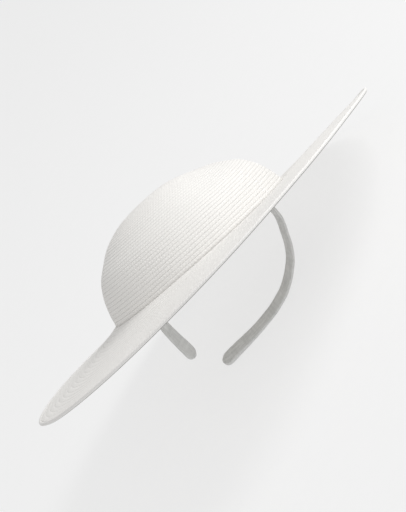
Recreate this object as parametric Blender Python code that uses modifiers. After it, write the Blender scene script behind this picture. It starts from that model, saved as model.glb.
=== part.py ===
"""White straw-braid platter hat on a satin headband, lying as it comes to rest on a table.

The hat is built in its own frame: +X runs along the brim from the low end of the headband's lean
to the high end, +Y points to the back of the hat and +Z points up through the crown. The whole hat
is then turned to the pose in which it lies on its brim edge and on the bottom of its headband.
"""

import math
from collections import namedtuple

import bmesh
import bpy
import numpy as np
from mathutils import Matrix, Vector

# Straw body
STRAW_WALL = 0.0018
CLEARANCE = 0.0003

# Crown
CROWN_RADIUS = 0.0906
CROWN_HEIGHT = 0.0625
CROWN_SIDE_TILT = math.radians(3.6)
CROWN_SEAT_RISE = 0.0047
DENT_DEPTH = 0.0046
DENT_ACROSS = 0.0170
DENT_ALONG = 0.0450

# Brim
BRIM_RADIUS = 0.1910
BRIM_WAVE = 0.0100
SEAT_WIDTH = 0.0012
EDGE_DIAMETER = 0.0032

# Headband, a C that opens downwards
BAND_HALF_SPAN = 0.0670
BAND_HEIGHT = 0.1665
BAND_WIDTH = 0.0120
BAND_THICKNESS = 0.0028
PADDLE_LENGTH = 0.0420
PADDLE_WIDTH = 0.0138
PADDLE_THICKNESS = 0.0040
LEFT_LEG_TRIM = 0.0080
BAND_SPLAY = math.radians(23.5)
BAND_SIDE_LEAN = math.radians(44.7)
BAND_BACK_LEAN = math.radians(16.2)
BAND_SIDE_OFFSET = -0.0555
BAND_BACK_OFFSET = 0.0120

# Facets
CROWN_SIDES = 72
CROWN_RINGS = 13
BRIM_SIDES = 96
EDGE_SIDES = 8
BAND_STATIONS = 57

CrownRow = namedtuple("CrownRow", "radius_share height_share")
RimRow = namedtuple("RimRow", "degrees_round wave_share")
FallRow = namedtuple("FallRow", "width_share fall_share")
BandRow = namedtuple("BandRow", "span_share height_share")
PaddleRow = namedtuple("PaddleRow", "length_share swell_share")

# Section of the crown from its open edge up to its tip
CROWN_PROFILE = (
    CrownRow(1.000, 0.000),
    CrownRow(1.000, 0.030),
    CrownRow(0.978, 0.170),
    CrownRow(0.929, 0.365),
    CrownRow(0.848, 0.552),
    CrownRow(0.749, 0.682),
    CrownRow(0.595, 0.842),
    CrownRow(0.410, 0.945),
    CrownRow(0.220, 0.988),
    CrownRow(0.000, 1.000),
)

# Height of the brim edge round the hat
RIM_WAVE = (
    RimRow(0, 0.17),
    RimRow(30, -0.51),
    RimRow(60, -1.02),
    RimRow(90, -0.79),
    RimRow(120, -0.12),
    RimRow(150, 0.22),
    RimRow(180, 0.02),
    RimRow(210, -0.32),
    RimRow(240, -0.44),
    RimRow(270, -0.30),
    RimRow(300, 0.06),
    RimRow(330, 0.35),
    RimRow(360, 0.17),
)

# How the brim falls from the crown to its edge
BRIM_FALL = (
    FallRow(0.00, 0.00),
    FallRow(0.09, 0.22),
    FallRow(0.20, 0.42),
    FallRow(0.40, 0.64),
    FallRow(0.60, 0.80),
    FallRow(0.80, 0.92),
    FallRow(1.00, 1.00),
)

# Front outer corner of one leg of the headband, from its tip up to the top of the arch
BAND_PATH = (
    BandRow(0.168, 0.000),
    BandRow(0.238, 0.023),
    BandRow(0.356, 0.075),
    BandRow(0.480, 0.127),
    BandRow(0.595, 0.179),
    BandRow(0.698, 0.231),
    BandRow(0.793, 0.283),
    BandRow(0.866, 0.335),
    BandRow(0.927, 0.386),
    BandRow(0.978, 0.464),
    BandRow(1.000, 0.542),
    BandRow(0.993, 0.594),
    BandRow(0.967, 0.646),
    BandRow(0.925, 0.698),
    BandRow(0.882, 0.750),
    BandRow(0.815, 0.801),
    BandRow(0.629, 0.883),
    BandRow(0.436, 0.945),
    BandRow(0.218, 0.986),
    BandRow(0.000, 1.000),
)

# Width and thickness of the band near its tip, as a share of the way from band to paddle
PADDLE_SWELL = (
    PaddleRow(0.00, 1.00),
    PaddleRow(0.30, 1.00),
    PaddleRow(0.60, 0.62),
    PaddleRow(1.00, 0.00),
)


def smooth_between(rows, at, loops=False):
    """Value of the second column at a value of the first, on a smooth curve through every row."""
    xs = [row[0] for row in rows]
    ys = [row[1] for row in rows]
    span = xs[-1] - xs[0]
    if loops:
        at = xs[0] + (at - xs[0]) % span
        xs = [xs[-2] - span] + xs + [xs[1] + span]
        ys = [ys[-2]] + ys + [ys[1]]
    at = min(max(at, xs[0]), xs[-1])
    i = min(max(int(np.searchsorted(xs, at, side="right")) - 1, 0), len(xs) - 2)
    slopes = []
    for j in (i, i + 1):
        before = max(j - 1, 0)
        after = min(j + 1, len(xs) - 1)
        slopes.append((ys[after] - ys[before]) / (xs[after] - xs[before]))
    step = xs[i + 1] - xs[i]
    t = (at - xs[i]) / step
    start = (1 + 2 * t) * (1 - t) ** 2 * ys[i] + t * (1 - t) ** 2 * step * slopes[0]
    end = t * t * (3 - 2 * t) * ys[i + 1] + t * t * (t - 1) * step * slopes[1]
    return start + end


def even_points(points, count):
    """Points at even distances along a smooth curve through the given plane points."""
    points = np.array(points, float)
    before = np.vstack([2 * points[0] - points[1], points[:-1]])
    after = np.vstack([points[1:], 2 * points[-1] - points[-2]])
    slopes = (after - before) / 2
    fine = []
    for i in range(len(points) - 1):
        for t in np.linspace(0, 1, 40, endpoint=False):
            start = (1 + 2 * t) * (1 - t) ** 2 * points[i] + t * (1 - t) ** 2 * slopes[i]
            end = t * t * (3 - 2 * t) * points[i + 1] + t * t * (t - 1) * slopes[i + 1]
            fine.append(start + end)
    fine.append(points[-1])
    fine = np.array(fine)
    run = np.concatenate([[0], np.cumsum(np.linalg.norm(np.diff(fine, axis=0), axis=1))])
    stops = np.linspace(0, run[-1], count)
    return np.stack([np.interp(stops, run, fine[:, k]) for k in (0, 1)], axis=1)


# Frame of the crown, tipped to the side on the brim
CROWN_FRAME = Matrix.Translation((0, 0, CROWN_SEAT_RISE)) @ Matrix.Rotation(
    CROWN_SIDE_TILT, 4, "Y"
)


def dent_at(x, y):
    """Depth of the soft dent on the right shoulder of the crown."""
    centre = CROWN_RADIUS / 2
    away = ((x - centre) / DENT_ACROSS) ** 2 + (y / DENT_ALONG) ** 2
    return DENT_DEPTH * math.exp(-away / 2)


def dent_share(share):
    """How much of the dent shows at a share of the crown's height: none at its open edge."""
    share = min(max((share - 0.15) / 0.5, 0), 1)
    return share * share * (3 - 2 * share)


def crown_section():
    """Radii and heights of the outer face of the crown, from the open edge up."""
    section = []
    for row in CROWN_PROFILE:
        section.append((row.radius_share * CROWN_RADIUS, row.height_share * CROWN_HEIGHT))
    return section


def crown_rings():
    """Rings of the outer face of the crown in its own frame, from the open edge to the tip."""
    section = crown_section()
    rings = []
    for radius, height in section[:1] + list(even_points(section[1:], CROWN_RINGS)[:-1]):
        ring = []
        for k in range(CROWN_SIDES):
            turn = 2 * math.pi * k / CROWN_SIDES
            x = radius * math.cos(turn)
            y = radius * math.sin(turn)
            lift = height - dent_at(x, y) * dent_share(height / CROWN_HEIGHT)
            ring.append(Vector((x, y, lift)))
        rings.append(ring)
    tip = Vector((0, 0, CROWN_HEIGHT - dent_at(0, 0)))
    return rings, tip


def crown_roof():
    """Section of the crown's inner face with its clearance, as radii and heights from the tip down."""
    outer = even_points(crown_section()[1:], 60)
    along = np.gradient(outer, axis=0)
    along /= np.linalg.norm(along, axis=1)[:, None]
    inward = np.stack([-along[:, 1], along[:, 0]], axis=1)
    inner = outer + inward * (STRAW_WALL + CLEARANCE)
    return inner[::-1]


def roof_above(x, y, roof):
    """Height of the crown's inner face over a point of its base, in the crown's own frame."""
    return float(np.interp(math.hypot(x, y), roof[:, 0], roof[:, 1])) - dent_at(x, y)


def rim_height(turn):
    return BRIM_WAVE * smooth_between(RIM_WAVE, math.degrees(turn) % 360, loops=True)


def seat_height(x):
    """Top of the brim where the crown stands on it."""
    return CROWN_SEAT_RISE - CLEARANCE - x * math.tan(CROWN_SIDE_TILT)


def brim_rings():
    """Rings of the top face of the brim, from the head opening out to the wired edge."""
    seat_radius = CROWN_RADIUS + SEAT_WIDTH
    sheet_radius = BRIM_RADIUS - EDGE_DIAMETER - CLEARANCE
    rings = []
    for radius in (CROWN_RADIUS - STRAW_WALL, seat_radius):
        ring = []
        for k in range(BRIM_SIDES):
            turn = 2 * math.pi * k / BRIM_SIDES
            x = radius * math.cos(turn)
            ring.append(Vector((x, radius * math.sin(turn), seat_height(x))))
        rings.append(ring)
    for share in (0.08, 0.18, 0.32, 0.48, 0.64, 0.82, 1.0):
        fall = smooth_between(BRIM_FALL, share)
        radius = seat_radius + (sheet_radius - seat_radius) * share
        ring = []
        for k in range(BRIM_SIDES):
            turn = 2 * math.pi * k / BRIM_SIDES
            start = seat_height(seat_radius * math.cos(turn))
            end = rim_height(turn) + STRAW_WALL / 2
            height = start + (end - start) * fall
            ring.append(Vector((radius * math.cos(turn), radius * math.sin(turn), height)))
        rings.append(ring)
    return rings


def mesh_object(name, mesh_data, material, collection):
    mesh = bpy.data.meshes.new(name)
    mesh_data.to_mesh(mesh)
    mesh_data.free()
    obj = bpy.data.objects.new(name, mesh)
    obj.data.materials.append(material)
    collection.objects.link(obj)
    return obj


def thicken(obj):
    """Gives an open surface the wall of the straw, inwards from its outer face."""
    wall = obj.modifiers.new("straw_wall", "SOLIDIFY")
    wall.thickness = STRAW_WALL
    wall.offset = -1
    wall.use_even_offset = True
    wall.use_quality_normals = True


def ring_surface(rings, tip=None):
    """An open surface through rings of points, closed at the last ring where a tip is given."""
    surface = bmesh.new()
    made = [[surface.verts.new(point) for point in ring] for ring in rings]
    count = len(made[0])
    for lower, upper in zip(made, made[1:]):
        for k in range(count):
            n = (k + 1) % count
            surface.faces.new((lower[k], lower[n], upper[n], upper[k]))
    if tip is not None:
        top = surface.verts.new(tip)
        for k in range(count):
            surface.faces.new((made[-1][k], made[-1][(k + 1) % count], top))
    return surface


def lofted_body(sections):
    """A closed body through unlike sections of equal count, with a flat cap at each end."""
    body = bmesh.new()
    made = [[body.verts.new(point) for point in section] for section in sections]
    count = len(made[0])
    for first, second in zip(made, made[1:]):
        for k in range(count):
            n = (k + 1) % count
            body.faces.new((first[k], first[n], second[n], second[k]))
    body.faces.new(made[0])
    body.faces.new(made[-1])
    bmesh.ops.recalc_face_normals(body, faces=body.faces)
    return body


def band_axes():
    """Unit directions of the headband: to its right, up to its arch, and to the front of the hat."""
    right = Vector((math.cos(BAND_SIDE_LEAN), 0, -math.sin(BAND_SIDE_LEAN)))
    up = Vector(
        (
            math.cos(BAND_BACK_LEAN) * math.sin(BAND_SIDE_LEAN),
            -math.sin(BAND_BACK_LEAN),
            math.cos(BAND_BACK_LEAN) * math.cos(BAND_SIDE_LEAN),
        )
    )
    return right, up, right.cross(up)


def band_frames():
    """Centre, width direction, inner direction, width and thickness of each section of the band."""
    right, up, front = band_axes()
    leg = []
    for row in BAND_PATH:
        leg.append((row.span_share * BAND_HALF_SPAN, row.height_share * BAND_HEIGHT))
    path = [(-lateral, axial) for lateral, axial in leg] + leg[-2::-1]
    fine = even_points(path, 801)
    run = np.concatenate([[0], np.cumsum(np.linalg.norm(np.diff(fine, axis=0), axis=1))])
    start = LEFT_LEG_TRIM
    end = float(run[-1])
    cap = PADDLE_WIDTH / 2
    ends = [cap * share for share in (0.04, 0.16, 0.36, 0.64)]
    middle = list(np.linspace(start + cap, end - cap, BAND_STATIONS - 2 * len(ends)))
    stops = [start + stop for stop in ends] + middle + [end - stop for stop in reversed(ends)]
    along = np.gradient(fine, axis=0)
    frames = []
    for stop in stops:
        lateral = float(np.interp(stop, run, fine[:, 0]))
        axial = float(np.interp(stop, run, fine[:, 1]))
        tangent_lateral = float(np.interp(stop, run, along[:, 0]))
        tangent_axial = float(np.interp(stop, run, along[:, 1]))
        tangent = Vector((tangent_lateral, tangent_axial)).normalized()
        inner = right * tangent.y - up * tangent.x
        across = front * math.cos(BAND_SPLAY) - inner * math.sin(BAND_SPLAY)
        inward = inner * math.cos(BAND_SPLAY) + front * math.sin(BAND_SPLAY)
        from_tip = min(stop - start, end - stop)
        swell = smooth_between(PADDLE_SWELL, min(from_tip / PADDLE_LENGTH, 1))
        roundness = math.sqrt(max(1 - max(1 - from_tip / cap, 0) ** 2, 0))
        width = (BAND_WIDTH + (PADDLE_WIDTH - BAND_WIDTH) * swell) * roundness
        thickness = BAND_THICKNESS + (PADDLE_THICKNESS - BAND_THICKNESS) * swell
        corner = right * lateral + up * axial
        centre = corner - across * (BAND_WIDTH / 2) + inward * (BAND_THICKNESS / 2)
        thickness = thickness * (0.45 + 0.55 * roundness)
        frames.append((centre, across, inward, width, thickness))
    return frames


def place_band(frames, roof):
    """Sets the band in place across the hat and raises its arch to the inside of the crown."""
    to_crown = CROWN_FRAME.inverted()
    shift = Vector((BAND_SIDE_OFFSET, BAND_BACK_OFFSET, 0))
    rise = math.inf
    for centre, across, inward, width, thickness in frames:
        for side in (-0.5, 0, 0.5):
            outer = to_crown @ (centre + shift + across * side * width - inward * thickness / 2)
            if math.hypot(outer.x, outer.y) < CROWN_RADIUS - STRAW_WALL:
                rise = min(rise, roof_above(outer.x, outer.y, roof) - outer.z)
    shift += CROWN_FRAME.to_3x3() @ Vector((0, 0, rise))
    return [(frame[0] + shift, *frame[1:]) for frame in frames]


def band_sections(frames):
    """Twelve points round each section, a rectangle with rounded corners."""
    sections = []
    for centre, across, inward, width, thickness in frames:
        corner = 0.42 * min(thickness, width)
        section = []
        for side, face, start in ((1, 1, 0), (-1, 1, 90), (-1, -1, 180), (1, -1, 270)):
            middle = centre + across * side * (width / 2 - corner)
            middle = middle + inward * face * (thickness / 2 - corner)
            for degrees in (start, start + 45, start + 90):
                turn = math.radians(degrees)
                spoke = across * math.cos(turn) + inward * math.sin(turn)
                section.append(middle + spoke * corner)
        sections.append(section)
    return sections


def evaluated_triangles(objects):
    """Corner points of every triangle of the finished objects."""
    bpy.context.view_layer.update()
    graph = bpy.context.evaluated_depsgraph_get()
    corners = []
    for obj in objects:
        mesh = obj.evaluated_get(graph).to_mesh()
        mesh.calc_loop_triangles()
        for triangle in mesh.loop_triangles:
            corners.append([mesh.vertices[i].co.copy() for i in triangle.vertices])
    return corners


def centre_of_weight(corners):
    """Centre of the solids, which are taken as equally dense."""
    total = 0.0
    weighted = Vector((0, 0, 0))
    for a, b, c in corners:
        volume = a.dot(b.cross(c)) / 6
        total += volume
        weighted += (a + b + c) * (volume / 4)
    return weighted / total


def lies_over(foot, face):
    """Whether a point in the plane of a face lies within it."""
    points = [vert.co for vert in face.verts]
    for first, second in zip(points, points[1:] + points[:1]):
        if (second - first).cross(foot - first).dot(face.normal) < 0:
            return False
    return True


def resting_pose(objects):
    """The turn and move that lay the hat on the table, on its back edge and its headband."""
    corners = evaluated_triangles(objects)
    centre = centre_of_weight(corners)
    hull = bmesh.new()
    points = {tuple(round(value, 7) for value in point) for triangle in corners for point in triangle}
    for point in sorted(points):
        hull.verts.new(point)
    bmesh.ops.convex_hull(hull, input=hull.verts)
    hull.normal_update()
    stable = []
    for face in hull.faces:
        height = (centre - face.verts[0].co).dot(face.normal)
        foot = centre - face.normal * height
        if lies_over(foot, face):
            stable.append((face.normal.y - face.normal.z, face.normal.copy()))
    down = max(stable, key=lambda found: found[0])[1]
    hull.free()
    turn = down.rotation_difference(Vector((0, 0, -1))).to_matrix().to_4x4()
    points = [turn @ point for triangle in corners for point in triangle]
    low = Vector([min(point[k] for point in points) for k in range(3)])
    high = Vector([max(point[k] for point in points) for k in range(3)])
    return Matrix.Translation((-(low.x + high.x) / 2, -(low.y + high.y) / 2, -low.z)) @ turn


def material_named(name, colour, roughness):
    material = bpy.data.materials.new(name)
    material.use_nodes = True
    shader = material.node_tree.nodes["Principled BSDF"]
    shader.inputs["Base Color"].default_value = (*colour, 1)
    shader.inputs["Roughness"].default_value = roughness
    return material


def brim_edge_mesh(collection, material):
    """The wired edge, a round cord along the outside of the brim."""
    data = bpy.data.curves.new("brim_edge_path", "CURVE")
    data.dimensions = "3D"
    data.twist_mode = "MINIMUM"
    data.bevel_depth = EDGE_DIAMETER / 2
    data.bevel_resolution = (EDGE_SIDES - 4) // 2
    data.use_fill_caps = False
    spline = data.splines.new("POLY")
    spline.points.add(BRIM_SIDES - 1)
    radius = BRIM_RADIUS - EDGE_DIAMETER / 2
    for k in range(BRIM_SIDES):
        turn = 2 * math.pi * k / BRIM_SIDES
        spline.points[k].co = (radius * math.cos(turn), radius * math.sin(turn), rim_height(turn), 1)
    spline.use_cyclic_u = True
    path = bpy.data.objects.new("brim_edge_path", data)
    collection.objects.link(path)
    bpy.context.view_layer.update()
    graph = bpy.context.evaluated_depsgraph_get()
    mesh = bpy.data.meshes.new_from_object(path.evaluated_get(graph))
    bpy.data.objects.remove(path)
    mesh.name = "brim_edge"
    body = bmesh.new()
    body.from_mesh(mesh)
    bmesh.ops.remove_doubles(body, verts=body.verts, dist=1e-6)
    bmesh.ops.recalc_face_normals(body, faces=body.faces)
    bpy.data.meshes.remove(mesh)
    return mesh_object("brim_edge", body, material, collection)


def main():
    for obj in list(bpy.data.objects):
        bpy.data.objects.remove(obj)
    hat = bpy.data.collections.new("platter_hat")
    bpy.context.scene.collection.children.link(hat)
    crown_straw = material_named("crown_straw", (0.86, 0.85, 0.83), 0.6)
    brim_straw = material_named("brim_straw", (0.86, 0.85, 0.83), 0.6)
    edge_braid = material_named("edge_braid", (0.82, 0.81, 0.79), 0.5)
    satin = material_named("headband_satin", (0.80, 0.80, 0.80), 0.35)

    rings, tip = crown_rings()
    crown = mesh_object("crown", ring_surface(rings, tip), crown_straw, hat)
    crown.data.transform(CROWN_FRAME)
    thicken(crown)

    outer_to_inner = list(reversed(brim_rings()))
    brim = mesh_object("brim", ring_surface(outer_to_inner), brim_straw, hat)
    thicken(brim)

    edge = brim_edge_mesh(hat, edge_braid)

    roof = crown_roof()
    frames = place_band(band_frames(), roof)
    band = mesh_object("headband", lofted_body(band_sections(frames)), satin, hat)

    objects = [crown, brim, edge, band]
    pose = resting_pose(objects)
    for obj in objects:
        obj.data.transform(pose)
        obj.data.update()
    return pose


POSE = main()
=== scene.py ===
"""Looks of the white platter hat: sewn straw braid on crown and brim, a wired edge, a satin headband.

Shapes are made in the hat's own frame, X along the brim, Z up through the crown, and are then laid
on the table by POSE, the same turn and move as that of the solids. Everything is in metres.
"""

import math

import bpy
import numpy as np
from mathutils import Matrix, Vector


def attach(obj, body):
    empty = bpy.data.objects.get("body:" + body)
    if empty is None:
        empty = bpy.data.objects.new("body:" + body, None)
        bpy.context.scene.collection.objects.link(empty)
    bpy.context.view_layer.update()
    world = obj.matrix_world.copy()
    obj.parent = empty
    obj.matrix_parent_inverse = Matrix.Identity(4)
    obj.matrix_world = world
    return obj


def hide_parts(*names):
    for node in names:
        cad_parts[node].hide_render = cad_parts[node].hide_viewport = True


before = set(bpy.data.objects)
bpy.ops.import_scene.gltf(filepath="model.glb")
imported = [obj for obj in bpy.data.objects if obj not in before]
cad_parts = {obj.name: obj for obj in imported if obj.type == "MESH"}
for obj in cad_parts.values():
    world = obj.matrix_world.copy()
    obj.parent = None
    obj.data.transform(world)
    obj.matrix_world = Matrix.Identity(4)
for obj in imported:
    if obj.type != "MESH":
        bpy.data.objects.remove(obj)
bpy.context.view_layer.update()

POSE = Matrix(
    (
        (0.983752, -0.025331, 0.177738, -0.000169),
        (-0.025331, 0.960510, 0.277090, 0.001476),
        (-0.177738, -0.277090, 0.944262, 0.073396),
        (0, 0, 0, 1),
    )
)

# Sizes of the solids
STRAW_WALL = 0.0018
CLEARANCE = 0.0003
CROWN_RADIUS = 0.0906
CROWN_HEIGHT = 0.0625
CROWN_SIDE_TILT = math.radians(3.6)
CROWN_SEAT_RISE = 0.0047
DENT_DEPTH = 0.0046
DENT_ACROSS = 0.0170
DENT_ALONG = 0.0450
BRIM_RADIUS = 0.1910
BRIM_WAVE = 0.0100
SEAT_WIDTH = 0.0012
EDGE_DIAMETER = 0.0032
BAND_HALF_SPAN = 0.0670
BAND_HEIGHT = 0.1665
BAND_WIDTH = 0.0120
BAND_THICKNESS = 0.0028
PADDLE_LENGTH = 0.0420
PADDLE_WIDTH = 0.0138
PADDLE_THICKNESS = 0.0040
LEFT_LEG_TRIM = 0.0080
BAND_SPLAY = math.radians(23.5)
BAND_SIDE_LEAN = math.radians(44.7)
BAND_BACK_LEAN = math.radians(16.2)
BAND_SIDE_OFFSET = -0.0555
BAND_BACK_OFFSET = 0.0120

# Radius and height of the crown, as shares, from its open edge to its tip
CROWN_PROFILE = (
    (1.000, 0.000),
    (1.000, 0.030),
    (0.978, 0.170),
    (0.929, 0.365),
    (0.848, 0.552),
    (0.749, 0.682),
    (0.595, 0.842),
    (0.410, 0.945),
    (0.220, 0.988),
    (0.000, 1.000),
)
# Degrees round the hat, and height of the brim's edge as a share
RIM_WAVE = (
    (0, 0.17),
    (30, -0.51),
    (60, -1.02),
    (90, -0.79),
    (120, -0.12),
    (150, 0.22),
    (180, 0.02),
    (210, -0.32),
    (240, -0.44),
    (270, -0.30),
    (300, 0.06),
    (330, 0.35),
    (360, 0.17),
)
# Way out along the brim, and how far it has fallen, as shares
BRIM_FALL = (
    (0.00, 0.00),
    (0.09, 0.22),
    (0.20, 0.42),
    (0.40, 0.64),
    (0.60, 0.80),
    (0.80, 0.92),
    (1.00, 1.00),
)
# Span and height of one leg of the headband, from its tip to the top of the arch
BAND_PATH = (
    (0.168, 0.000),
    (0.238, 0.023),
    (0.356, 0.075),
    (0.480, 0.127),
    (0.595, 0.179),
    (0.698, 0.231),
    (0.793, 0.283),
    (0.866, 0.335),
    (0.927, 0.386),
    (0.978, 0.464),
    (1.000, 0.542),
    (0.993, 0.594),
    (0.967, 0.646),
    (0.925, 0.698),
    (0.882, 0.750),
    (0.815, 0.801),
    (0.629, 0.883),
    (0.436, 0.945),
    (0.218, 0.986),
    (0.000, 1.000),
)
PADDLE_SWELL = ((0.00, 1.00), (0.30, 1.00), (0.60, 0.62), (1.00, 0.00))

# Braid: pitch of the rows and of the plaits, and height of the rows over their seams
CROWN_ROW = 0.00325
BRIM_ROW = 0.0050
PLAIT = 0.00285
CROWN_RELIEF = 0.00034
BRIM_RELIEF = 0.00030
CROWN_SINK = 0.00026
BRIM_SINK = 0.00020
INSIDE_RELIEF = 0.00030
FOOT_FLARE = 0.0008
FOOT_FLARE_HEIGHT = 0.0022
TIP_RISE = 0.00035
# Share of the crown's section that stays open at its tip for the cap
TIP_OPENING = 0.008
# Share of the brim's last row that shows beside the crown
LAST_BRIM_ROW = 0.55

# Turned edge: plaits round the hat, the groove where the braid turns under, and the stretch of the cord's
# underside that gets a dark material as painted shade, in degrees round the cord
EDGE_PLAITS = 400
EDGE_RIDGE = 0.00004
TUCK_DEPTH = 0.00035
TUCK_AT = 298
TUCK_SPREAD = 0.30
PAINTED_SHADE_FROM = 262
PAINTED_SHADE_TO = 322

# Satin cover of the band
BAND_SQUARENESS = 5.5
FOLD_COUNT = 9
FOLD_DEPTH = 0.00022
FOLD_REACH = 0.006
RIPPLE_DEPTH = 0.00007

# Photograph: tilt of the hat to the line of sight, its roll, and the camera's distance
RAISED = math.radians(3.0)
ROLLED = math.radians(45.4)
CAMERA_DISTANCE = 1.6

random = np.random.default_rng(11)


def smooth_between(rows, at, loops=False):
    """Value of the second column at a value of the first, on a smooth curve through every row."""
    xs = [row[0] for row in rows]
    ys = [row[1] for row in rows]
    span = xs[-1] - xs[0]
    if loops:
        at = xs[0] + (at - xs[0]) % span
        xs = [xs[-2] - span] + xs + [xs[1] + span]
        ys = [ys[-2]] + ys + [ys[1]]
    at = min(max(at, xs[0]), xs[-1])
    i = min(max(int(np.searchsorted(xs, at, side="right")) - 1, 0), len(xs) - 2)
    slopes = []
    for j in (i, i + 1):
        before = max(j - 1, 0)
        after = min(j + 1, len(xs) - 1)
        slopes.append((ys[after] - ys[before]) / (xs[after] - xs[before]))
    step = xs[i + 1] - xs[i]
    t = (at - xs[i]) / step
    start = (1 + 2 * t) * (1 - t) ** 2 * ys[i] + t * (1 - t) ** 2 * step * slopes[0]
    end = t * t * (3 - 2 * t) * ys[i + 1] + t * t * (t - 1) * step * slopes[1]
    return start + end


def even_points(points, count):
    """Points at even distances along a smooth curve through the given plane points."""
    points = np.array(points, float)
    before = np.vstack([2 * points[0] - points[1], points[:-1]])
    after = np.vstack([points[1:], 2 * points[-1] - points[-2]])
    slopes = (after - before) / 2
    fine = []
    for i in range(len(points) - 1):
        for t in np.linspace(0, 1, 40, endpoint=False):
            start = (1 + 2 * t) * (1 - t) ** 2 * points[i] + t * (1 - t) ** 2 * slopes[i]
            end = t * t * (3 - 2 * t) * points[i + 1] + t * t * (t - 1) * slopes[i + 1]
            fine.append(start + end)
    fine.append(points[-1])
    fine = np.array(fine)
    run = np.concatenate([[0], np.cumsum(np.linalg.norm(np.diff(fine, axis=0), axis=1))])
    stops = np.linspace(0, run[-1], count)
    return np.stack([np.interp(stops, run, fine[:, k]) for k in (0, 1)], axis=1)


def turns_round(count):
    return 2 * np.pi * np.arange(count) / count


def moved(points, matrix):
    """Points of a grid after a 4x4 matrix."""
    m = np.array(matrix)
    return points @ m[:3, :3].T + m[:3, 3]


def grid_normals(grid):
    """Unit normals of a grid whose rings run round the hat, on the side that the rings climb to."""
    along = np.gradient(grid, axis=0)
    closed = np.concatenate([grid[:, -1:], grid, grid[:, :1]], axis=1)
    round_it = closed[:, 2:] - closed[:, :-2]
    normal = np.cross(round_it, along)
    return normal / np.maximum(np.linalg.norm(normal, axis=2, keepdims=True), 1e-12)


def wobble(rings, count, size, waves=5):
    """Slow unevenness of hand-guided rows: a few waves round each ring, alike in rings side by side."""
    turn = turns_round(count)
    total = np.zeros((rings, count))
    for number in range(1, waves + 1):
        phase = random.uniform(0, 2 * np.pi) + np.cumsum(random.normal(0, 0.12, rings))
        total += np.sin(number * turn[None, :] * 2 + phase[:, None]) / number
    return total * size


def row_stops(rows, across, first=0.0, last=1.0):
    """Stops along the rows: row number and share across it. The end rows may be part rows."""
    stops = []
    for row in range(rows):
        for share in across:
            if (row > 0 or share >= first) and (row < rows - 1 or share < last):
                stops.append((row, share))
    stops.append((rows - 1, last))
    return stops


def row_spans(stops):
    """Row number and share at both ends of each strip between two stops."""
    spans = []
    for (row, share), (next_row, next_share) in zip(stops, stops[1:]):
        end = next_share if next_row == row else 1.0
        spans.append((row + share, row + end))
    return spans


def row_height(share):
    """Height of a sewn row above its groove, as a share: flat on top, with a quick fall to the seam."""
    return (1 - abs(2 * share - 1) ** 4.5) * (0.80 + 0.20 * share)


def object_of(name, points, faces, uvs, material):
    mesh = bpy.data.meshes.new(name)
    mesh.from_pydata(points.tolist(), [], faces)
    layer = mesh.uv_layers.new(name="braid")
    layer.data.foreach_set("uv", np.array(uvs, float).reshape(-1))
    mesh.polygons.foreach_set("use_smooth", [True] * len(mesh.polygons))
    mesh.materials.append(material)
    mesh.update()
    piece = bpy.data.objects.new(name, mesh)
    bpy.context.scene.collection.objects.link(piece)
    return piece


class Skin:
    """Rings of points gathered into one mesh, with a plait count and a row for each strip."""

    def __init__(self):
        self.rings = []
        self.faces = []
        self.uvs = []
        self.total = 0

    def strip(self, grid, rows, plaits, flip=False):
        """A strip of rings. rows gives each ring's place across the rows, plaits the count by strip."""
        count = grid.shape[1]
        first = self.total
        self.rings.append(grid.reshape(-1, 3))
        self.total += grid.shape[0] * count
        for j in range(grid.shape[0] - 1):
            turns = plaits[j]
            for k in range(count):
                n = (k + 1) % count
                corners = [first + j * count + k, first + j * count + n]
                corners += [first + (j + 1) * count + n, first + (j + 1) * count + k]
                left = turns * k / count
                right = turns * (k + 1) / count
                low, high = rows[j]
                uv = [(left, low), (right, low), (right, high), (left, high)]
                if flip:
                    corners.reverse()
                    uv.reverse()
                self.faces.append(corners)
                self.uvs.extend(uv)
        return first

    def bridge(self, ring_a, ring_b, count, turns, rows, flip=False):
        """A strip between two rings that are already there."""
        for k in range(count):
            n = (k + 1) % count
            corners = [ring_a + k, ring_a + n, ring_b + n, ring_b + k]
            left = turns * k / count
            right = turns * (k + 1) / count
            uv = [(left, rows[0]), (right, rows[0]), (right, rows[1]), (left, rows[1])]
            if flip:
                corners.reverse()
                uv.reverse()
            self.faces.append(corners)
            self.uvs.extend(uv)

    def cap(self, ring, count, tip, flip=False):
        """Closes a ring with a point."""
        self.rings.append(np.array([tip], float))
        top = self.total
        self.total += 1
        for k in range(count):
            corners = [ring + k, ring + (k + 1) % count, top]
            uv = [(k / 8, 0.0), ((k + 1) / 8, 0.0), ((k + 0.5) / 8, 0.5)]
            if flip:
                corners.reverse()
                uv.reverse()
            self.faces.append(corners)
            self.uvs.extend(uv)

    def finished(self, name, material):
        points = moved(np.concatenate(self.rings), POSE)
        return object_of(name, points, self.faces, self.uvs, material)


# ---------------------------------------------------------------- crown

CROWN_FRAME = Matrix.Translation((0, 0, CROWN_SEAT_RISE)) @ Matrix.Rotation(CROWN_SIDE_TILT, 4, "Y")


def crown_surface(radii, heights, count):
    """Grid of the crown's outer face in its own frame, with the soft dent of its right shoulder."""
    turn = turns_round(count)
    x = radii[:, None] * np.cos(turn)
    y = radii[:, None] * np.sin(turn)
    away = ((x - CROWN_RADIUS / 2) / DENT_ACROSS) ** 2 + (y / DENT_ALONG) ** 2
    share = np.clip((heights / CROWN_HEIGHT - 0.15) / 0.5, 0, 1)
    share = share * share * (3 - 2 * share)
    z = heights[:, None] - DENT_DEPTH * np.exp(-away / 2) * share[:, None]
    return np.stack([x, y, z], axis=2)


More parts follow.
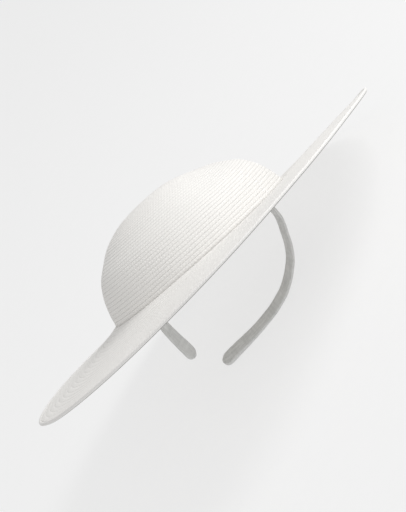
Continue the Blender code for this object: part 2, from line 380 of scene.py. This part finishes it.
def crown_rows(count, across, depth, relief, rows, section):
    """Grid of one face of the crown, row by row, with its rows' places and plait counts."""
    stops = row_stops(rows, across, first=0.5)
    at = np.array([(row + share - 0.5) / (rows - 0.5) for row, share in stops])
    at = at * (1 - TIP_OPENING)
    run = np.linspace(0, 1, len(section))
    radii = np.interp(at, run, section[:, 0])
    heights = np.interp(at, run, section[:, 1])
    grid = crown_surface(radii, heights, count)
    normal = grid_normals(grid)
    rise = np.array([row_height(share) * relief for row, share in stops])
    lift = rise[:, None] + wobble(len(stops), count, 0.00005)
    grid = grid + normal * (lift - depth)[:, :, None]
    plaits = []
    for row, _ in stops[:-1]:
        middle = np.interp(row / rows, run, section[:, 0])
        plaits.append(max(round(2 * math.pi * middle / PLAIT), 6))
    return grid, row_spans(stops), plaits


def make_crown(material):
    count = 320
    profile = [(r * CROWN_RADIUS, h * CROWN_HEIGHT) for r, h in CROWN_PROFILE]
    section = even_points(profile[1:], 400)
    section[0, 1] = -CLEARANCE
    bare = section.copy()
    # the foot turns out a little, where the crown's first row runs on into the brim
    section[:, 0] += np.clip(1 - section[:, 1] / FOOT_FLARE_HEIGHT, 0, 1) ** 2 * FOOT_FLARE
    length = float(np.linalg.norm(np.diff(section, axis=0), axis=1).sum())
    rows = round(length / CROWN_ROW)
    skin = Skin()
    grid, places, plaits = crown_rows(
        count, (0.0, 0.06, 0.17, 0.5, 0.8, 0.94), CROWN_SINK, CROWN_RELIEF, rows, section
    )
    outer = skin.strip(moved(grid, CROWN_FRAME), places, plaits)
    top = outer + (grid.shape[0] - 1) * count
    tip = grid[-1].mean(axis=0) + np.array([0, 0, TIP_RISE])
    skin.cap(top, count, moved(tip[None], CROWN_FRAME)[0])
    inside, places, plaits = crown_rows(
        count, (0.0, 0.5), STRAW_WALL, -INSIDE_RELIEF, rows, bare
    )
    inner = skin.strip(moved(inside, CROWN_FRAME), places, plaits, flip=True)
    roof = inner + (inside.shape[0] - 1) * count
    tip = inside[-1].mean(axis=0)
    skin.cap(roof, count, moved(tip[None], CROWN_FRAME)[0], flip=True)
    skin.bridge(outer, inner, count, plaits[0], (0.5, 0.6), flip=True)
    return skin.finished("crown_braid", material)


# ---------------------------------------------------------------- brim


def rim_height(turn):
    return BRIM_WAVE * smooth_between(RIM_WAVE, math.degrees(turn) % 360, loops=True)


def seat_height(x):
    return CROWN_SEAT_RISE - CLEARANCE - x * math.tan(CROWN_SIDE_TILT)


def brim_surface(shares, count):
    """Grid of the brim's top face at shares of the way from the crown to the edge."""
    seat_radius = CROWN_RADIUS + SEAT_WIDTH
    sheet_radius = BRIM_RADIUS - EDGE_DIAMETER - CLEARANCE
    turn = turns_round(count)
    start = seat_height(seat_radius * np.cos(turn))
    end = np.array([rim_height(t) for t in turn]) + STRAW_WALL / 2
    rings = []
    for share in shares:
        radius = seat_radius + (sheet_radius - seat_radius) * share
        height = start + (end - start) * smooth_between(BRIM_FALL, min(max(share, 0), 1))
        rings.append(np.stack([radius * np.cos(turn), radius * np.sin(turn), height], axis=1))
    return np.array(rings)


def brim_rows(count, across, depth, relief, rows):
    """Grid of one face of the brim, from its edge in to the crown."""
    stops = row_stops(rows, across, last=LAST_BRIM_ROW)
    at = np.array([(row + share) / (rows - 1 + LAST_BRIM_ROW) for row, share in stops])
    grid = brim_surface(1 - at, count)
    normal = grid_normals(grid)
    rise = np.array([row_height(share) * relief for row, share in stops])
    lift = rise[:, None] + wobble(len(stops), count, 0.00006)
    grid = grid + normal * (lift - depth)[:, :, None]
    inner = CROWN_RADIUS + SEAT_WIDTH
    outer = BRIM_RADIUS - EDGE_DIAMETER
    plaits = []
    for row, _ in stops[:-1]:
        middle = outer - (outer - inner) * (row + 0.5) / rows
        plaits.append(round(2 * math.pi * middle / (1.15 * PLAIT)))
    return grid, row_spans(stops), plaits


def make_brim(material):
    count = 480
    rows = round((BRIM_RADIUS - EDGE_DIAMETER - CROWN_RADIUS - SEAT_WIDTH) / BRIM_ROW)
    skin = Skin()
    grid, places, plaits = brim_rows(
        count, (0.0, 0.07, 0.22, 0.55, 0.82, 0.94), BRIM_SINK, BRIM_RELIEF, rows
    )
    top = skin.strip(grid, places, plaits)
    under, places, plaits = brim_rows(
        count, (0.0, 0.3, 0.7), STRAW_WALL - 0.00010, -BRIM_RELIEF, rows
    )
    below = skin.strip(under, places, plaits, flip=True)
    skin.bridge(top, below, count, plaits[0], (0.4, 0.6), flip=True)
    turn = turns_round(count)
    radius = CROWN_RADIUS - STRAW_WALL
    x = radius * np.cos(turn)
    y = radius * np.sin(turn)
    depths = (0.0001, 0.0009, 0.0017)
    lip = np.stack([np.stack([x, y, seat_height(x) - depth], axis=1) for depth in depths])
    mouth = skin.strip(lip, [(0.3, 0.5), (0.5, 0.7)], [plaits[-1]] * 2)
    last = top + (grid.shape[0] - 1) * count
    skin.bridge(last, mouth, count, plaits[-1], (rows - 0.5, rows - 0.3))
    last = below + (under.shape[0] - 1) * count
    skin.bridge(last, mouth + 2 * count, count, plaits[-1], (rows - 0.5, rows - 0.3), flip=True)
    return skin.finished("brim_braid", material)


def make_edge(material, painted_underside_shade):
    """The braid turned over the wire: a round cord, ridged by its plaits, grooved where it tucks under,
    with painted shade on its underside.
    """
    count = 960
    sides = 24
    turn = turns_round(count)
    around = turns_round(sides)
    rim = np.array([rim_height(t) for t in turn])
    rings = []
    for angle in around:
        ridge = EDGE_RIDGE * np.cos(EDGE_PLAITS * turn + 1.4 * angle)
        tuck = TUCK_DEPTH * math.exp(-(((angle - math.radians(TUCK_AT)) / TUCK_SPREAD) ** 2))
        reach = EDGE_DIAMETER / 2 - 0.00008 - tuck + ridge
        radius = BRIM_RADIUS - EDGE_DIAMETER / 2 + reach * np.cos(angle)
        height = rim + reach * np.sin(angle)
        rings.append(np.stack([radius * np.cos(turn), radius * np.sin(turn), height], axis=1))
    skin = Skin()
    places = [(j / sides * 3, (j + 1) / sides * 3) for j in range(sides)]
    grid = np.array(rings)
    first = skin.strip(grid, places, [EDGE_PLAITS] * sides)
    skin.bridge(first + (sides - 1) * count, first, count, EDGE_PLAITS, places[-1])
    piece = skin.finished("brim_edge_braid", material)
    piece.data.materials.append(painted_underside_shade)
    # the underside faces take the second, dark material: painted shade under the wired edge
    low = round(sides * PAINTED_SHADE_FROM / 360)
    high = round(sides * PAINTED_SHADE_TO / 360)
    for polygon in piece.data.polygons:
        if low <= polygon.index // count < high:
            polygon.material_index = 1
    return piece


# ---------------------------------------------------------------- headband


def crown_roof():
    """Section of the crown's inner face with its clearance, from the tip down."""
    profile = [(r * CROWN_RADIUS, h * CROWN_HEIGHT) for r, h in CROWN_PROFILE]
    outer = even_points(profile[1:], 60)
    along = np.gradient(outer, axis=0)
    along /= np.linalg.norm(along, axis=1)[:, None]
    inward = np.stack([-along[:, 1], along[:, 0]], axis=1)
    return (outer + inward * (STRAW_WALL + CLEARANCE))[::-1]


def roof_above(x, y, roof):
    centre = CROWN_RADIUS / 2
    away = ((x - centre) / DENT_ACROSS) ** 2 + (y / DENT_ALONG) ** 2
    dent = DENT_DEPTH * math.exp(-away / 2)
    return float(np.interp(math.hypot(x, y), roof[:, 0], roof[:, 1])) - dent


def band_frames(stations):
    """Centre, width direction, inner direction, width, thickness and place along the band."""
    right = Vector((math.cos(BAND_SIDE_LEAN), 0, -math.sin(BAND_SIDE_LEAN)))
    up = Vector(
        (
            math.cos(BAND_BACK_LEAN) * math.sin(BAND_SIDE_LEAN),
            -math.sin(BAND_BACK_LEAN),
            math.cos(BAND_BACK_LEAN) * math.cos(BAND_SIDE_LEAN),
        )
    )
    front = right.cross(up)
    leg = [(span * BAND_HALF_SPAN, height * BAND_HEIGHT) for span, height in BAND_PATH]
    path = [(-lateral, axial) for lateral, axial in leg] + leg[-2::-1]
    fine = even_points(path, 801)
    run = np.concatenate([[0], np.cumsum(np.linalg.norm(np.diff(fine, axis=0), axis=1))])
    start = LEFT_LEG_TRIM
    end = float(run[-1])
    cap = PADDLE_WIDTH / 2
    ends = [cap * share for share in (0.01, 0.05, 0.12, 0.22, 0.34, 0.48, 0.64, 0.82)]
    middle = list(np.linspace(start + cap, end - cap, stations))
    stops = [start + stop for stop in ends] + middle + [end - stop for stop in reversed(ends)]
    along = np.gradient(fine, axis=0)
    frames = []
    for stop in stops:
        lateral = float(np.interp(stop, run, fine[:, 0]))
        axial = float(np.interp(stop, run, fine[:, 1]))
        tangent = Vector(
            (float(np.interp(stop, run, along[:, 0])), float(np.interp(stop, run, along[:, 1])))
        ).normalized()
        inner = right * tangent.y - up * tangent.x
        across = front * math.cos(BAND_SPLAY) - inner * math.sin(BAND_SPLAY)
        inward = inner * math.cos(BAND_SPLAY) + front * math.sin(BAND_SPLAY)
        from_tip = min(stop - start, end - stop)
        swell = smooth_between(PADDLE_SWELL, min(from_tip / PADDLE_LENGTH, 1))
        roundness = math.sqrt(max(1 - max(1 - from_tip / cap, 0) ** 2, 0))
        width = (BAND_WIDTH + (PADDLE_WIDTH - BAND_WIDTH) * swell) * roundness
        thickness = BAND_THICKNESS + (PADDLE_THICKNESS - BAND_THICKNESS) * swell
        corner = right * lateral + up * axial
        centre = corner - across * (BAND_WIDTH / 2) + inward * (BAND_THICKNESS / 2)
        thickness = thickness * (0.45 + 0.55 * roundness)
        frames.append((centre, across, inward, width, thickness, stop, from_tip))
    return frames


def placed_band(frames):
    """The band set across the hat, its arch raised to the inside of the crown."""
    roof = crown_roof()
    to_crown = CROWN_FRAME.inverted()
    shift = Vector((BAND_SIDE_OFFSET, BAND_BACK_OFFSET, 0))
    rise = math.inf
    for centre, across, inward, width, thickness, _, _ in frames:
        for side in (-0.5, 0, 0.5):
            outer = to_crown @ (centre + shift + across * side * width - inward * thickness / 2)
            if math.hypot(outer.x, outer.y) < CROWN_RADIUS - STRAW_WALL:
                rise = min(rise, roof_above(outer.x, outer.y, roof) - outer.z)
    shift += CROWN_FRAME.to_3x3() @ Vector((0, 0, rise))
    return [(f[0] + shift, *f[1:]) for f in frames]


def make_band(material):
    """The satin-covered band: a soft flat section, drawn in at the tips by the gathers of its cover."""
    frames = placed_band(band_frames(230))
    sides = 40
    sections = []
    run = [f[5] for f in frames]
    for centre, across, inward, width, thickness, stop, from_tip in frames:
        half_width = width / 2
        half_thick = thickness / 2
        gather = math.exp(-from_tip / FOLD_REACH)
        section = []
        for k in range(sides):
            turn = 2 * math.pi * k / sides
            # a rounded rectangle, as a superellipse
            c = math.cos(turn)
            s = math.sin(turn)
            power = 2 / BAND_SQUARENESS
            x = math.copysign(abs(c) ** power, c) * half_width
            y = math.copysign(abs(s) ** power, s) * half_thick
            fold = FOLD_DEPTH * gather * math.sin(FOLD_COUNT * turn + 2.0 * math.sin(stop * 900))
            ripple = RIPPLE_DEPTH * math.sin(stop * 520 + 1.3 * math.sin(turn)) * math.sin(stop * 173)
            length = math.hypot(x, y) + 1e-9
            scale = 1 + (fold + ripple) / max(length, 0.0012)
            section.append(centre + across * x * scale + inward * y * scale)
        sections.append(section)
    points = np.array([[tuple(p) for p in section] for section in sections])
    faces = []
    uvs = []
    # the braid layer holds millimetres along the band and round it
    for j in range(len(sections) - 1):
        for k in range(sides):
            n = (k + 1) % sides
            faces.append([j * sides + k, j * sides + n, (j + 1) * sides + n, (j + 1) * sides + k])
            low = run[j] * 1000
            high = run[j + 1] * 1000
            left = 30.0 * k / sides
            right = 30.0 * (k + 1) / sides
            uvs.extend([(low, left), (low, right), (high, right), (high, left)])
    for start, order in ((0, -1), ((len(sections) - 1) * sides, 1)):
        ring = [start + k for k in range(sides)][::order]
        faces.append(ring)
        uvs.extend([(run[0] * 1000, 30.0 * k / sides) for k in range(sides)])
    points = moved(points.reshape(-1, 3), POSE)
    return object_of("headband_satin", points, faces, uvs, material)


# ---------------------------------------------------------------- materials


class Nodes:
    """A small helper that adds and links shader nodes."""

    def __init__(self, name):
        self.material = bpy.data.materials.new(name)
        self.material.use_nodes = True
        self.tree = self.material.node_tree
        self.shader = self.tree.nodes["Principled BSDF"]

    def add(self, kind, **settings):
        node = self.tree.nodes.new(kind)
        for key, value in settings.items():
            setattr(node, key, value)
        return node

    def put(self, socket, value):
        if isinstance(value, bpy.types.NodeSocket):
            self.tree.links.new(value, socket)
        else:
            socket.default_value = value

    def maths(self, operation, first, second=0.0, third=0.0):
        node = self.add("ShaderNodeMath", operation=operation)
        for socket, value in zip(node.inputs, (first, second, third)):
            self.put(socket, value)
        return node.outputs[0]

    def ramp(self, value, low, high, to_low=0.0, to_high=1.0, smooth=True):
        node = self.add("ShaderNodeMapRange")
        node.interpolation_type = "SMOOTHSTEP" if smooth else "LINEAR"
        for name, given in (
            ("Value", value),
            ("From Min", low),
            ("From Max", high),
            ("To Min", to_low),
            ("To Max", to_high),
        ):
            self.put(node.inputs[name], given)
        return node.outputs[0]

    def mixed(self, share, first, second):
        node = self.add("ShaderNodeMix", data_type="RGBA")
        self.put(node.inputs[0], share)
        self.put(node.inputs[6], first)
        self.put(node.inputs[7], second)
        return node.outputs[2]

    def noise(self, vector, scale, detail=2.0, roughness=0.5):
        node = self.add("ShaderNodeTexNoise")
        self.put(node.inputs["Vector"], vector)
        node.inputs["Scale"].default_value = scale
        node.inputs["Detail"].default_value = detail
        node.inputs["Roughness"].default_value = roughness
        return node.outputs["Fac"]

    def joined(self, x, y, z=0.0):
        node = self.add("ShaderNodeCombineXYZ")
        for socket, value in zip(node.inputs, (x, y, z)):
            self.put(socket, value)
        return node.outputs[0]


def straw(name, light, dark, plait_depth, groove_painted_shade, plait_painted_shade):
    """Sewn straw braid: a lattice of plaits in each row, painted shade in the seam between rows and
    between the plaits, fine fibres.
    """
    n = Nodes(name)
    uv = n.add("ShaderNodeUVMap", uv_map="braid")
    parts = n.add("ShaderNodeSeparateXYZ")
    n.put(parts.inputs[0], uv.outputs[0])
    u, v = parts.outputs[0], parts.outputs[1]
    across = n.maths("FRACT", v)
    middle = n.maths("ABSOLUTE", n.maths("SUBTRACT", n.maths("MULTIPLY", across, 2.0), 1.0))
    lean = n.maths("MULTIPLY", middle, 0.5)
    strand = n.maths("ADD", u, lean)
    wave = n.maths("SINE", n.maths("MULTIPLY", strand, 2 * math.pi))
    plait = n.ramp(wave, -1.0, 1.0)
    cross = n.maths("SINE", n.maths("MULTIPLY", n.maths("SUBTRACT", u, lean), 4 * math.pi))
    fine = n.ramp(cross, -1.0, 1.0)
    seam = n.ramp(middle, 0.78, 1.0)
    threads = n.joined(n.maths("MULTIPLY", strand, 1.2), n.maths("MULTIPLY", v, 14.0))
    fibre = n.noise(threads, 1.6, 3.0, 0.6)
    place = n.add("ShaderNodeTexCoord")
    patch = n.noise(place.outputs["Object"], 14.0, 3.0)
    # painted shade: the seam between rows and the hollows between plaits are darkened in the colour; fibre
    # and patch add the straw's own uneven tone
    shade = n.maths("MULTIPLY", seam, groove_painted_shade)
    between = n.maths("MULTIPLY", n.maths("SUBTRACT", 1.0, plait), plait_painted_shade)
    shade = n.maths("ADD", shade, between)
    shade = n.maths("ADD", shade, n.ramp(fibre, 0.35, 0.7, 0.10, 0.0))
    shade = n.maths("ADD", shade, n.ramp(patch, 0.3, 0.7, 0.05, 0.0))
    n.put(n.shader.inputs["Base Color"], n.mixed(n.maths("MINIMUM", shade, 1.0), light, dark))
    height = n.maths("MULTIPLY", plait, 0.7)
    height = n.maths("ADD", height, n.maths("MULTIPLY", fine, 0.18))
    height = n.maths("ADD", height, n.maths("MULTIPLY", fibre, 0.25))
    height = n.maths("SUBTRACT", height, n.maths("MULTIPLY", seam, 0.6))
    bump = n.add("ShaderNodeBump")
    bump.inputs["Strength"].default_value = 0.8
    bump.inputs["Distance"].default_value = plait_depth
    n.put(bump.inputs["Height"], height)
    n.put(n.shader.inputs["Normal"], bump.outputs[0])
    n.put(n.shader.inputs["Roughness"], n.ramp(fibre, 0.2, 0.8, 0.46, 0.66))
    n.shader.inputs["Specular IOR Level"].default_value = 0.35
    return n.material


def satin(name, light, dark):
    """Satin: fine weave, long soft threads, and faint creases where the cover is drawn round the band,
    darkened in the colour as painted shade.
    """
    n = Nodes(name)
    uv = n.add("ShaderNodeUVMap", uv_map="braid")
    parts = n.add("ShaderNodeSeparateXYZ")
    n.put(parts.inputs[0], uv.outputs[0])
    u, v = parts.outputs[0], parts.outputs[1]
    thread = n.maths("SINE", n.maths("MULTIPLY", v, 2 * math.pi * 3.0))
    weft = n.maths("SINE", n.maths("MULTIPLY", u, 2 * math.pi * 3.6))
    weave = n.maths("MULTIPLY", thread, weft)
    long_threads = n.joined(n.maths("MULTIPLY", u, 0.05), n.maths("MULTIPLY", v, 1.4))
    slub = n.noise(long_threads, 1.5, 3.0)
    cross_folds = n.joined(n.maths("MULTIPLY", u, 0.30), n.maths("MULTIPLY", v, 0.10))
    crease = n.noise(cross_folds, 1.0, 2.0, 0.6)
    # painted shade: the creases darken the colour; the slubs are the satin's own uneven tone
    shade = n.maths("ADD", n.ramp(slub, 0.3, 0.7, 0.0, 0.55), n.ramp(crease, 0.35, 0.7, 0.0, 0.35))
    n.put(n.shader.inputs["Base Color"], n.mixed(n.maths("MINIMUM", shade, 1.0), light, dark))
    height = n.maths("ADD", n.maths("MULTIPLY", weave, 0.10), n.maths("MULTIPLY", crease, 1.0))
    height = n.maths("ADD", height, n.maths("MULTIPLY", slub, 0.2))
    bump = n.add("ShaderNodeBump")
    bump.inputs["Strength"].default_value = 0.6
    bump.inputs["Distance"].default_value = 0.0004
    n.put(bump.inputs["Height"], height)
    n.put(n.shader.inputs["Normal"], bump.outputs[0])
    n.put(n.shader.inputs["Roughness"], n.ramp(slub, 0.25, 0.75, 0.30, 0.46))
    n.shader.inputs["Sheen Weight"].default_value = 0.25
    n.shader.inputs["Sheen Roughness"].default_value = 0.4
    return n.material


# ---------------------------------------------------------------- stage, light and camera


def image_axes():
    """Right, up and backward directions of the photograph, in the row frame."""
    along = Vector((1, 0, 0))
    crown_up = Vector((0, math.sin(RAISED), math.cos(RAISED)))
    right = along * math.cos(ROLLED) - crown_up * math.sin(ROLLED)
    up = along * math.sin(ROLLED) + crown_up * math.cos(ROLLED)
    back = Vector((0, -math.cos(RAISED), math.sin(RAISED)))
    turn = POSE.to_3x3()
    return turn @ right, turn @ up, turn @ back


def make_camera(right, up, back):
    data = bpy.data.cameras.new("camera")
    data.lens = 137.2
    data.shift_x = -0.2 / 512
    data.shift_y = 0.5 / 512
    data.clip_end = 50
    camera = bpy.data.objects.new("camera", data)
    place = POSE.to_translation() + back * CAMERA_DISTANCE
    camera.matrix_world = Matrix(
        (
            (right.x, up.x, back.x, place.x),
            (right.y, up.y, back.y, place.y),
            (right.z, up.z, back.z, place.z),
            (0, 0, 0, 1),
        )
    )
    bpy.context.scene.collection.objects.link(camera)
    bpy.context.scene.camera = camera


def sun(name, direction, strength, spread):
    data = bpy.data.lights.new(name, "SUN")
    data.energy = strength
    data.angle = math.radians(spread)
    lamp = bpy.data.objects.new(name, data)
    lamp.rotation_mode = "QUATERNION"
    lamp.rotation_quaternion = direction.to_track_quat("Z", "Y")
    bpy.context.scene.collection.objects.link(lamp)


def softbox(name, direction, distance, watts, size):
    """A square soft light that faces the hat, near enough to fade along the brim."""
    data = bpy.data.lights.new(name, "AREA")
    data.energy = watts
    data.size = size
    lamp = bpy.data.objects.new(name, data)
    lamp.location = POSE.to_translation() + direction * distance
    lamp.rotation_mode = "QUATERNION"
    lamp.rotation_quaternion = direction.to_track_quat("Z", "Y")
    bpy.context.scene.collection.objects.link(lamp)


def make_stage(right, up, back):
    mesh = bpy.data.meshes.new("floor")
    half = 12.0
    corners = [(-half, -half, 0), (half, -half, 0), (half, half, 0), (-half, half, 0)]
    mesh.from_pydata(corners, [], [(0, 1, 2, 3)])
    floor = bpy.data.objects.new("floor", mesh)
    bpy.context.scene.collection.objects.link(floor)
    n = Nodes("floor_paper")
    place = n.add("ShaderNodeTexCoord")
    grain = n.noise(place.outputs["Object"], 60.0, 2.0)
    tone = n.mixed(grain, (0.255, 0.255, 0.255, 1), (0.265, 0.265, 0.265, 1))
    n.put(n.shader.inputs["Base Color"], tone)
    n.shader.inputs["Emission Color"].default_value = (1.0, 1.0, 1.0, 1)
    n.shader.inputs["Emission Strength"].default_value = 0.635
    n.shader.inputs["Roughness"].default_value = 0.9
    n.shader.inputs["Specular IOR Level"].default_value = 0.1
    mesh.materials.append(n.material)
    world = bpy.data.worlds.new("studio")
    world.use_nodes = True
    background = world.node_tree.nodes["Background"]
    background.inputs[0].default_value = (1.0, 1.0, 1.0, 1)
    background.inputs[1].default_value = 0.60
    bpy.context.scene.world = world
    softbox("key", (up * 0.95 + back * 0.36 + right * 0.10).normalized(), 1.6, 14.0, 0.7)
    sun("fill", (back * 1.0 + up * 0.10 - right * 0.3).normalized(), 0.45, 60)


scene = bpy.context.scene
scene.view_settings.view_transform = "Standard"

right, up, back = image_axes()
make_camera(right, up, back)
make_stage(right, up, back)

white = (0.86, 0.845, 0.82, 1)
# dark end of the straw colours: painted shade in seams and between plaits, and the fibres' own darker tone
shade_and_fibre_grey = (0.42, 0.41, 0.395, 1)
crown_straw = straw("crown_straw_braid", white, shade_and_fibre_grey, 0.00016, 0.34, 0.08)
brim_straw = straw("brim_straw_braid", white, shade_and_fibre_grey, 0.00009, 0.14, 0.05)
edge_straw = straw("edge_straw_braid", (0.84, 0.83, 0.81, 1), shade_and_fibre_grey, 0.00010, 0.12, 0.10)
# dark straw for the edge's underside: painted shade where the wired edge turns away from the light
underside_painted_shade = straw(
    "edge_underside_painted_shade", (0.34, 0.33, 0.32, 1), (0.16, 0.155, 0.15, 1), 0.00008, 0.3, 0.3
)
band_satin = satin("headband_white_satin", (0.70, 0.70, 0.685, 1), (0.50, 0.505, 0.49, 1))

for piece, node, slot in (
    (make_crown(crown_straw), "crown", "crown_straw"),
    (make_brim(brim_straw), "brim", "brim_straw"),
    (make_edge(edge_straw, underside_painted_shade), "brim_edge", "edge_braid"),
    (make_band(band_satin), "headband", "headband_satin"),
):
    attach(piece, "root")
    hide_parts(node)
